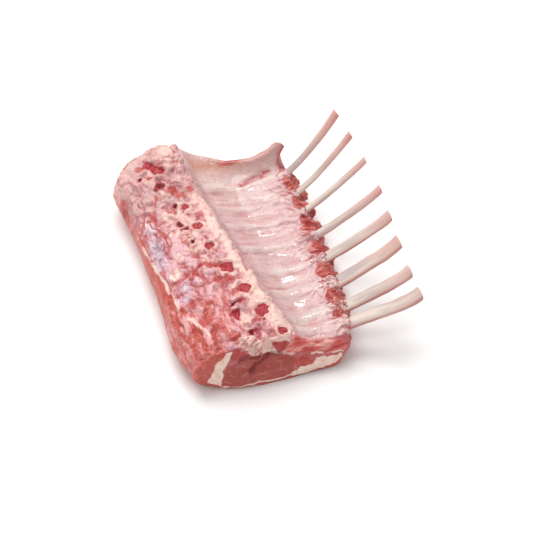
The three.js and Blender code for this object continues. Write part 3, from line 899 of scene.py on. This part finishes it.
def fleshFinish():
    f = Finish("rawFlesh")
    c = linearColours(fleshColours)
    place = f.objectPlace
    broad = f.grain(place, 14, 4.0)
    middle = f.grain(place, 5, 5.0, twist=0.6)
    fine = f.grain(place, 1.7, 4.0)
    along = f.grain(place, 3.2, 4.0, stretch=(1, 0.22, 1), twist=0.4)
    acrossLines = f.grain(place, 3.4, 5.0, stretch=(0.14, 1, 0.5), twist=0.3)
    wavy = f.vector("ADD", place, f.scaled(f.grain(place, 9, 2.0), 0.006))
    streaks = f.grain(wavy, 4.4, 5.0, stretch=(1, 0.28, 1))
    # fold: higher on the crests of the sawn side's folds; the lean and hump tones are painted paler there
    # as painted highlight
    membrane, fold = f.mask("membrane"), f.mask("fold")

    def tone(value, low, high, first, second, share=1.0):  # with the second colour where the value is high
        first = c[first] if isinstance(first, str) else first
        return f.mix(f.ramp(value, low, high) * share, first, c[second])

    def edge(name, low, high, inMiddle=0.0, inFine=0.0):  # a mask whose edge is broken up by the grain
        return f.ramp(f.mask(name) + (middle - 0.5) * inMiddle + (fine - 0.5) * inFine, low, high)

    # a little paler on the folds' crests: painted highlight
    humpTone = tone(middle * 0.5 + fine * 0.3 + fold * 0.1, 0.36, 0.54, "hump", "humpPale")
    humpTone = tone(broad * 0.7 + fine * 0.3, 0.48, 0.6, humpTone, "humpGrey", 0.8)
    capTone = tone(along * 0.6 + broad * 0.4, 0.5, 0.66, "cap", "capPale")
    # pale streaks over the lean: partly the meat's own, partly painted sheen
    fleckSheenTone = tone(streaks * 0.7 + along * 0.3, 0.46, 0.58, capTone, "frostSheen", 0.85)
    fleckSheenTone = tone(fine, 0.56, 0.7, fleckSheenTone, "frostSheen", 0.5)
    stripTone = tone(acrossLines, 0.5, 0.6, "strip", "stripPale")
    stripTone = tone(1.0 - acrossLines, 0.52, 0.62, stripTone, "stripDeep", 0.8)
    marrowTone = tone(f.grain(place, 1.2, 3.0), 0.5, 0.66, "marrow", "marrowPale", 0.8)
    creamTone = tone(middle * 0.8 + fine * 0.2, 0.48, 0.7, "cream", "creamPink")
    ridgeTone = tone(middle * 0.7 + fine * 0.3, 0.5, 0.75, "ridge", "creamPink")
    bloodTone = tone(fine * 0.5 + middle * 0.5, 0.45, 0.6, "blood", "bloodDark")
    skinTone = tone(acrossLines * 0.6 + broad * 0.4, 0.42, 0.6, "membrane", "membranePink")
    skinLayers = [
        (f.mask("cloud") * 0.6, "cloud"),
        (f.mask("ribBand") * (0.3 + f.ramp(broad, 0.4, 0.6) * 0.4), "ribBand"),
        (f.mask("endSkin") * f.ramp(middle, 0.4, 0.6) * 0.7, "endSkin"),
        (f.mask("rimFold") * f.ramp(fine, 0.35, 0.6) * 0.7, "leanPale"),
        (f.ramp(broad * 0.6 + streaks * 0.4, 0.5, 0.6) * 0.5, "skinWhiteAndSheen"),
        # painted sheen
        (f.mask("sheen") * f.ramp(middle, 0.35, 0.55) * 0.9, "skinWhiteAndSheen"),
        # painted shade in the creases, the slit and the ridge's foot
        (f.mask("grooveShade") * f.ramp(middle, 0.3, 0.55) * 0.8, "grooveShade"),
    ]
    for share, name in skinLayers:
        skinTone = f.mix(share, skinTone, c[name])

    # the lean paler on the folds' crests, as painted highlight
    colour = tone(middle * 0.5 + fine * 0.2 + fold * 0.3, 0.36, 0.6, "lean", "leanPale")
    layers = [  # from the lowest up: where it shows, and its colour
        (f.mask("hump") * 0.85, humpTone),
        (f.ramp(f.mask("cap") * (1 - f.mask("hump") * 0.5), 0.2, 0.8), capTone),
        (f.mask("fleckAndSheen") * 0.9, fleckSheenTone),
        (edge("silver", 0.3, 0.9, 1.2, 0.6) * 0.85, tone(along, 0.42, 0.6, "silver", "silverPink")),
        (f.mask("bruise") * 0.8, c["bruise"]),
        (edge("cream", 0.2, 0.75, 0.5, 0.25), creamTone),
        (edge("ridge", 0.25, 0.7, 0.6) * 0.9, ridgeTone),
        (membrane * 0.96, skinTone),
        (f.mask("torn"), tone(acrossLines * 0.6 + middle * 0.4, 0.46, 0.62, "torn", "tornPale")),
        (f.mask("rust") * f.ramp(middle, 0.3, 0.5), c["rust"]),
        (f.mask("eye"), tone(middle * 0.5 + fine * 0.5, 0.5, 0.68, "eye", "eyePale")),
        (f.mask("swirl") * 0.4, c["swirl"]),
        (f.mask("strip"), stripTone),
        (edge("red", 0.3, 0.8, 0, 0.7) * 0.85, tone(fine * 0.5 + along * 0.5, 0.42, 0.6, "red", "redDeep")),
        (edge("lace", 0.3, 0.8, 0, 0.8) * 0.8, c["lace"]),
        (edge("fat", 0.35, 0.65, 0, 0.5), tone(fine * 0.5 + middle * 0.5, 0.45, 0.62, "fat", "fatWarm")),
        (edge("blood", 0.25, 0.75, 0, 0.5) * 0.92, bloodTone),
        (edge("streak", 0.3, 0.8, 0.8) * 0.8, c["red"]),
        (edge("marrow", 0.08, 0.6, 0, 0.4), marrowTone),
        # painted shade in pits, holes, creases and under the overhang
        (f.mask("recessShade") * 0.85, c["recessShadeTone"]),
    ]
    for share, layerTone in layers:
        colour = f.mix(share, colour, layerTone)

    bump = f.relief(fine * 0.8 + middle * 0.9, 0.75, 1.1)
    return f.shade(
        Base_Color=colour,
        Roughness=0.38 + (broad - 0.5) * 0.4 + (fine - 0.5) * 0.4 - membrane * 0.05,
        Coat_Weight=0.35 + membrane * 0.25 - f.mask("blood") * 0.2 - f.mask("marrow") * 0.2,
        Coat_Roughness=0.07,
        Specular_IOR_Level=0.22,
        Normal=f.relief(acrossLines, membrane * 0.35, 0.6, bump),
        Subsurface_Weight=0.15,
        Subsurface_Radius=(1.0, 0.35, 0.25),
        Subsurface_Scale=0.0025,
    )


boneColours = {
    "base": (212, 195, 183),
    "grey": (182, 166, 162),
    "pink": (222, 176, 166),
    "red": (198, 124, 114),
    "marrow": (158, 70, 64),
    # painted shade for the bones' lower side
    "under": (178, 104, 96),
}


def boneFinish():
    f = Finish("scrapedBone")
    c = linearColours(boneColours)
    reach = f.mask("reach")
    marrow = f.mask("marrow")
    under = f.mask("under")
    warm = f.mask("warm")
    grainPlace = f.more(f.node("ShaderNodeAttribute", {"attribute_name": "grain"}), "Vector")
    streaks = f.grain(grainPlace, 1.5, 4.0)
    clouds = f.grain(grainPlace, 5, 3.0)
    speck = f.grain(f.objectPlace, 0.9, 3.0)
    colour = f.mix(f.ramp(streaks * 0.3 + clouds * 0.7, 0.42, 0.6), c["base"], c["grey"])
    # darker and pinker towards the lower side: partly the bone's own pink, partly painted shade
    colour = f.mix(f.ramp(under + (clouds - 0.5) * 1.0, 0.3, 0.8) * (0.45 + warm * 0.5), colour, c["pink"])
    colour = f.mix(f.ramp(under + (clouds - 0.5) * 0.8, 0.72, 1.1) * 0.8, colour, c["under"])
    blush = f.ramp(reach + (clouds - 0.5) * 0.8, 0.4, 1.0)
    colour = f.mix(blush * (0.25 + warm), colour, c["pink"])
    colour = f.mix(f.ramp(reach + (streaks - 0.5) * 0.7, 0.72, 1.1) * warm, colour, c["red"])
    colour = f.mix(f.ramp(marrow + (speck - 0.5) * 0.6, 0.35, 0.65) * 0.8, colour, c["marrow"])
    bump = f.relief(streaks * 0.7 + speck * 0.3, 0.35, 0.4)
    return f.shade(
        Base_Color=colour,
        Roughness=0.4 + (clouds - 0.5) * 0.25,
        Coat_Weight=0.12,
        Coat_Roughness=0.2,
        Normal=bump,
        Specular_IOR_Level=0.35,
        Subsurface_Weight=0.1,
        Subsurface_Radius=(1.0, 0.6, 0.45),
        Subsurface_Scale=0.002,
    )


flesh.data.materials.clear()
flesh.data.materials.append(fleshFinish())
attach(flesh, "root")
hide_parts(*fleshNames)
print("flesh finished")


class Growth(Kit):  # a Geometry Nodes tree with named inputs
    def __init__(self, name):
        self.tree = bpy.data.node_groups.new(name, "GeometryNodeTree")
        self.tree.interface.new_socket("Geometry", in_out="INPUT", socket_type="NodeSocketGeometry")
        self.tree.interface.new_socket("Geometry", in_out="OUTPUT", socket_type="NodeSocketGeometry")
        self.start = self.tree.nodes.new("NodeGroupInput")
        self.place = self.node("GeometryNodeInputPosition")

    def knob(self, name, kind, value):
        socket = self.tree.interface.new_socket(name, in_out="INPUT", socket_type="NodeSocket" + kind)
        if kind != "Material":
            socket.default_value = value
        return Wire(self, self.start.outputs[name])

    def named(self, name, kind="FLOAT"):
        return self.node("GeometryNodeInputNamedAttribute", {"data_type": kind}, {"Name": name})

    def store(self, geometry, name, value, kind="FLOAT"):
        sockets = {"Geometry": geometry, "Name": name, "Value": value}
        return self.node("GeometryNodeStoreNamedAttribute", {"data_type": kind}, sockets)

    def finish(self, geometry, material):
        whole = self.node("GeometryNodeRealizeInstances", {}, {"Geometry": geometry})
        whole = self.node("GeometryNodeSetShadeSmooth", {}, {"Geometry": whole})
        whole = self.node("GeometryNodeSetMaterial", {}, {"Geometry": whole, "Material": material})
        end = self.tree.nodes.new("NodeGroupOutput")
        self.tree.links.new(whole.socket, end.inputs[0])
        return self.tree


def grown(name, mesh, tree, values):  # the mesh that a tree makes from another mesh
    holder = placed(name, mesh)
    modifier = holder.modifiers.new("Growth", "NODES")
    modifier.node_group = tree
    for item in tree.interface.items_tree:
        if item.in_out == "INPUT" and item.name in values:
            modifier[item.identifier] = values[item.name]
    bpy.context.view_layer.update()
    result = evaluated(holder)
    holder.modifiers.remove(modifier)
    holder.data = result
    result.name = name
    return holder


# the bare bones: each follows the middle line of its rib
boneShape = {
    "rings": 64,
    "sides": 24,
    "slimBy": [0.98, 0.98, 0.94, 0.96, 0.92, 0.86, 0.84, 0.80],  # of the rib's own width
    "flareBy": [1.02, 1.0, 1.02, 1.05, 1.08, 1.12, 1.16, 1.34],  # the tip's width beside that
    "warmTip": [0.0, 0.2, 0.35, 0.25, 0.4, 0.4, 0.6, 0.65],
    "thin": 0.56,  # how thick a bone is beside its width
    "uneven": 0.16,
    "flatten": 0.2,
    "marrowShare": 0.62,  # of the cut end
    "short": [0.6, 0.6, 0.6, 0.4, 0.4, 0.3, 0.2, 0.2],  # mm kept free before the rib's furthest point
}


def boneTree():
    g = Growth("boneAlongLine")
    line = Wire(g, g.start.outputs["Geometry"])
    rings = g.knob("Rings", "Int", 64)
    sides = g.knob("Sides", "Int", 24)
    uneven = g.knob("Unevenness", "Float", 0.1)
    flatten = g.knob("Flatten", "Float", 0.2)
    share = g.knob("Marrow share", "Float", 0.6)
    seed = g.knob("Seed", "Float", 0.0)
    material = g.knob("Material", "Material", None)
    curve = g.node("GeometryNodeMeshToCurve", {}, {"Mesh": line})
    curve = g.node("GeometryNodeSetCurveNormal", {"mode": "Z_UP"}, {"Curve": curve})
    grid = g.node("GeometryNodeMeshGrid", {}, {"Vertices X": sides, "Vertices Y": rings})
    gridX, gridY, _ = g.parts(g.place)
    turn = (gridX + 0.5) * (2 * math.pi)
    ring = gridY + 0.5
    way = g.between(ring, 0.015, 0.9)
    closing = g.between(ring, 0.9, 1.0)
    size = g.named("size", "FLOAT_VECTOR")
    settings = {"data_type": "FLOAT_VECTOR", "mode": "FACTOR"}
    sample = g.node("GeometryNodeSampleCurve", settings, {"Curves": curve, "Value": size, "Factor": way})
    centre, ahead, side = [g.more(sample, name) for name in ("Position", "Tangent", "Normal")]
    wide, thin, reach = g.parts(sample)
    outward = g.vector("CROSS_PRODUCT", ahead, side)
    cosine = g.node("ShaderNodeMath", {"operation": "COSINE"}, [turn])
    sine = g.node("ShaderNodeMath", {"operation": "SINE"}, [turn])
    flat = 1 - flatten * g.node("ShaderNodeMath", {"operation": "MAXIMUM"}, [sine, 0.0])
    lumpPlace = g.joined(cosine * 0.7, sine * 0.7 + seed * 7.0, way * 9.0)
    lump = g.node("ShaderNodeTexNoise", {}, {"Vector": lumpPlace, "Scale": 1.0, "Detail": 2.0})
    radius = (1 + (lump - 0.5) * uneven * 2) * g.between(ring, 0.0, 0.014)
    bevel = g.between(closing, 0.0, 0.2, 1.0, 0.93, "SMOOTHSTEP")
    radius = radius * bevel * g.between(closing, 0.2, 1.0, 1.0, 0.0)
    inMarrow = g.between(closing, 0.98 - share, 1.05 - share, shape="SMOOTHSTEP")
    across = g.scaled(side, cosine * wide * radius)
    over = g.scaled(outward, sine * thin * flat * radius)
    offset = g.vector("ADD", across, over)
    _, offsetAlong, offsetUp = g.parts(offset)
    slide = offsetUp * 0.9 * g.between(way, 0.86, 1.0, shape="SMOOTHSTEP") - inMarrow * 0.0004
    spotOnBone = g.vector("ADD", g.vector("ADD", centre, offset), g.scaled(ahead, slide))
    grain = g.joined(cosine * wide, sine * thin + seed * 0.05, way * 0.011)
    bone = g.store(grid, "reach", reach)
    bone = g.store(bone, "marrow", inMarrow)
    # the finish paints shade on this lower side
    low = g.between(offsetAlong + offsetUp, 0.0005, -0.0042)  # the lower side, towards the shoulder end
    bone = g.store(bone, "under", low)
    bone = g.store(bone, "grain", grain, "FLOAT_VECTOR")
    bone = g.node("GeometryNodeSetPosition", {}, {"Geometry": bone, "Position": spotOnBone})
    bone = g.node("GeometryNodeMergeByDistance", {}, {"Geometry": bone, "Distance": 0.00002})
    return g.finish(bone, material)


def boneLine(index):  # that line as a mesh, with the bone's half width, half thickness and how bare it is
    half = ribHalf[index]
    line = middleLine(index, 80)
    line[:, 0] -= boneShape["short"][index] * np.linspace(0, 1, 80)
    rim = rimAt(ribAlong[index])
    bare = np.clip((line[:, 0] - rim) / (line[-1, 0] - rim), 0, 1)
    width = half * boneShape["slimBy"][index] * (1 + (boneShape["flareBy"][index] - 1) * bare**2)
    width *= 1 - 0.12 * step(0, 10, rim + 4 - line[:, 0])
    thick = width * boneShape["thin"] * (1.6 - 0.12 * half)
    size = np.stack([width / toMm, thick / toMm, bare], axis=1)
    mesh = bpy.data.meshes.new("boneLine")
    links = [(k, k + 1) for k in range(len(line) - 1)]
    mesh.from_pydata([tuple(p) for p in (line + home) / toMm], links, [])
    attribute = mesh.attributes.new("size", "FLOAT_VECTOR", "POINT")
    attribute.data.foreach_set("vector", size.astype(np.float32).ravel())
    return mesh


boneMaterial = boneFinish()
tree = boneTree()
for index in range(8):
    bone = grown("bone_%d" % (index + 1), boneLine(index), tree, {
        "Rings": boneShape["rings"], "Sides": boneShape["sides"], "Unevenness": boneShape["uneven"],
        "Flatten": boneShape["flatten"], "Marrow share": boneShape["marrowShare"], "Seed": float(index),
        "Material": boneMaterial,
    })
    mesh = bone.data
    bm = bmesh.new()
    bm.from_mesh(mesh)
    bmesh.ops.recalc_face_normals(bm, faces=bm.faces)
    bm.to_mesh(mesh)
    bm.free()
    setValues(mesh, "warm", np.full(len(mesh.vertices), boneShape["warmTip"][index]))
    points = np.clip(meshArrays(mesh)[0], np.array(cadBox[0]), np.array(cadBox[1]))
    setPoints(mesh, points)
    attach(bone, "root")
    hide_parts(ribNames[index])
print("bones grown:", len(mesh.polygons), "faces each")

# frayed membrane and meat round the bones' bases
frayShape = {
    "density": 150000.0,  # shreds on a square metre of fully frayed flesh
    "length": [2.5, 7.5],  # mm
    "thickness": 0.42,
    "spread": 0.9,
    "bend": 1.0,
    "seed": 4,
}
frayColours = {"pale": (218, 156, 150), "pink": (198, 104, 98), "red": (168, 66, 62)}


def frayFinish():
    f = Finish("frayedMeat")
    tone = f.mask("tone")
    c = linearColours(frayColours)
    uneven = (f.grain(f.objectPlace, 2.0, 3.0) - 0.5) * 0.4
    colour = f.mix(f.ramp(tone, 0.2, 0.5), c["pale"], c["pink"])
    colour = f.mix(f.ramp(tone + uneven, 0.62, 0.95), colour, c["red"])
    return f.shade(
        Base_Color=colour, Roughness=0.4, Coat_Weight=0.3, Coat_Roughness=0.1, Specular_IOR_Level=0.3,
        Subsurface_Weight=0.15, Subsurface_Radius=(1.0, 0.35, 0.25), Subsurface_Scale=0.002,
    )


def frayTree():
    g = Growth("frayAlongEdge")
    host = Wire(g, g.start.outputs["Geometry"])
    density = g.knob("Density", "Float", 50000.0)
    shortest = g.knob("Shortest", "Float", 0.002)
    longest = g.knob("Longest", "Float", 0.005)
    thickness = g.knob("Thickness", "Float", 0.0003)
    spread = g.knob("Spread", "Float", 0.7)
    bend = g.knob("Bend", "Float", 0.001)
    seed = g.knob("Seed", "Int", 1)
    material = g.knob("Material", "Material", None)
    sockets = {"Mesh": host, "Density": g.named("frayed") * density, "Seed": seed}
    points = g.node("GeometryNodeDistributePointsOnFaces", {"distribute_method": "RANDOM"}, sockets)
    strand = g.node("GeometryNodeCurvePrimitiveLine", {}, {"Start": (0, 0, -0.25), "End": (0, 0, 1)})
    strand = g.node("GeometryNodeResampleCurve", {}, {"Curve": strand, "Count": 7})
    along = g.node("GeometryNodeSplineParameter")
    taper = g.between(along, 0.0, 1.0, 1.0, 0.3)
    ring = g.node("GeometryNodeCurvePrimitiveCircle", {}, {"Resolution": 6, "Radius": thickness})
    sockets = {0: (-1, -0.8, -0.42), 1: (-0.4, 0.8, 0.05), "Seed": seed}  # inwards along the membrane
    direction = g.node("FunctionNodeRandomValue", {"data_type": "FLOAT_VECTOR"}, sockets)
    direction = g.vector("MULTIPLY", direction, g.joined(1.0, spread, spread))
    turned = g.node("FunctionNodeAlignRotationToVector", {"axis": "Z"}, {"Vector": direction})
    length = g.node("FunctionNodeRandomValue", {}, {2: shortest, 3: longest, "Seed": seed + 1}, out=1)
    size = g.joined(length, length, length)
    sockets = {"Points": points, "Instance": strand, "Rotation": turned, "Scale": size}
    strands = g.node("GeometryNodeInstanceOnPoints", {}, sockets)
    tone = g.node("FunctionNodeRandomValue", {}, {2: 0.0, 3: 1.0, "Seed": seed + 2}, out=1)
    settings = {"data_type": "FLOAT", "domain": "INSTANCE"}
    sockets = {"Geometry": strands, "Name": "tone", "Value": tone}
    strands = g.node("GeometryNodeStoreNamedAttribute", settings, sockets)
    strands = g.node("GeometryNodeRealizeInstances", {}, {"Geometry": strands})
    wave = g.node("ShaderNodeTexNoise", {}, {"Vector": g.place, "Scale": 260.0, "Detail": 1.0})
    wave = g.vector("SUBTRACT", g.more(wave, "Color"), (0.5, 0.5, 0.5))
    push = g.scaled(wave, along * bend * 4.0)
    strands = g.node("GeometryNodeSetPosition", {}, {"Geometry": strands, "Offset": push})
    sockets = {"Curve": strands, "Profile Curve": ring, "Scale": taper, "Fill Caps": True}
    shreds = g.node("GeometryNodeCurveToMesh", {}, sockets)
    return g.finish(shreds, material)


frays = grown("frays", flesh.data.copy(), frayTree(), {
    "Density": frayShape["density"], "Shortest": frayShape["length"][0] / toMm,
    "Longest": frayShape["length"][1] / toMm, "Thickness": frayShape["thickness"] / toMm,
    "Spread": frayShape["spread"], "Bend": frayShape["bend"] / toMm, "Seed": frayShape["seed"],
    "Material": frayFinish(),
})
points = np.clip(meshArrays(frays.data)[0], np.array(cadBox[0]) + 0.0004, np.array(cadBox[1]) - 0.0004)
setPoints(frays.data, points)
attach(frays, "root")
print("frays grown:", len(frays.data.polygons), "faces")

# the table, the light and the camera
studio = {
    "floorSize": 6.0,
    "floor": linear(250, 250, 249),
    "world": 0.62,
    "keyPower": 16.2,
    "keyPlace": (-0.12, 0.6, 1.25),
    "keySize": 1.1,
    "glintPower": 1.5,
    "glintPlace": (0.4, 0.81, 0.97),
    "glintSize": 0.14,
    "fillPower": 1.0,
    "fillPlace": (-0.9, -0.5, 0.9),
    "fillSize": 0.8,
}
view = {"azimuth": -18.0, "elevation": 45.0, "distance": 1.5, "lens": 138.0, "aim": (3.3, -5.1, 0.0)}


def makeFloor():
    size = studio["floorSize"] / 2
    mesh = bpy.data.meshes.new("floor")
    corners = [(-size, -size, 0), (size, -size, 0), (size, size, 0), (-size, size, 0)]
    mesh.from_pydata(corners, [], [(0, 1, 2, 3)])
    floor = placed("floor", mesh)
    f = Finish("paleTable")
    cloud = f.grain(f.objectPlace, 400, 2.0)
    tone = f.mix(cloud * 0.02, studio["floor"], linear(244, 244, 243))
    floor.data.materials.append(f.shade(Base_Color=tone, Roughness=0.7))


def makeLight(name, place, size, power):
    lamp = bpy.data.lights.new(name, "AREA")
    lamp.size = size
    lamp.energy = power
    holder = placed(name, lamp)
    holder.location = place
    holder.rotation_euler = (-Vector(place)).to_track_quat("-Z", "Y").to_euler()


def makeWorld():
    world = bpy.data.worlds.new("softBox")
    world.use_nodes = True
    world.node_tree.nodes["Background"].inputs["Color"].default_value = (1, 1, 1, 1)
    world.node_tree.nodes["Background"].inputs["Strength"].default_value = studio["world"]
    bpy.context.scene.world = world


def makeCamera():
    a, e = math.radians(view["azimuth"]), math.radians(view["elevation"])
    back = Vector((math.sin(a) * math.cos(e), -math.cos(a) * math.cos(e), math.sin(e)))
    aim = Vector(view["aim"]) / toMm
    lens = bpy.data.cameras.new("camera")
    lens.lens = view["lens"]
    lens.sensor_width = 36
    camera = placed("camera", lens)
    camera.location = aim + back * view["distance"]
    camera.rotation_euler = back.to_track_quat("Z", "Y").to_euler()
    bpy.context.scene.camera = camera


makeFloor()
makeWorld()
makeLight("key", studio["keyPlace"], studio["keySize"], studio["keyPower"])
makeLight("glint", studio["glintPlace"], studio["glintSize"], studio["glintPower"])
makeLight("fill", studio["fillPlace"], studio["fillSize"], studio["fillPower"])
makeCamera()
bpy.context.scene.view_settings.view_transform = "Standard"
print("table, light and camera made")
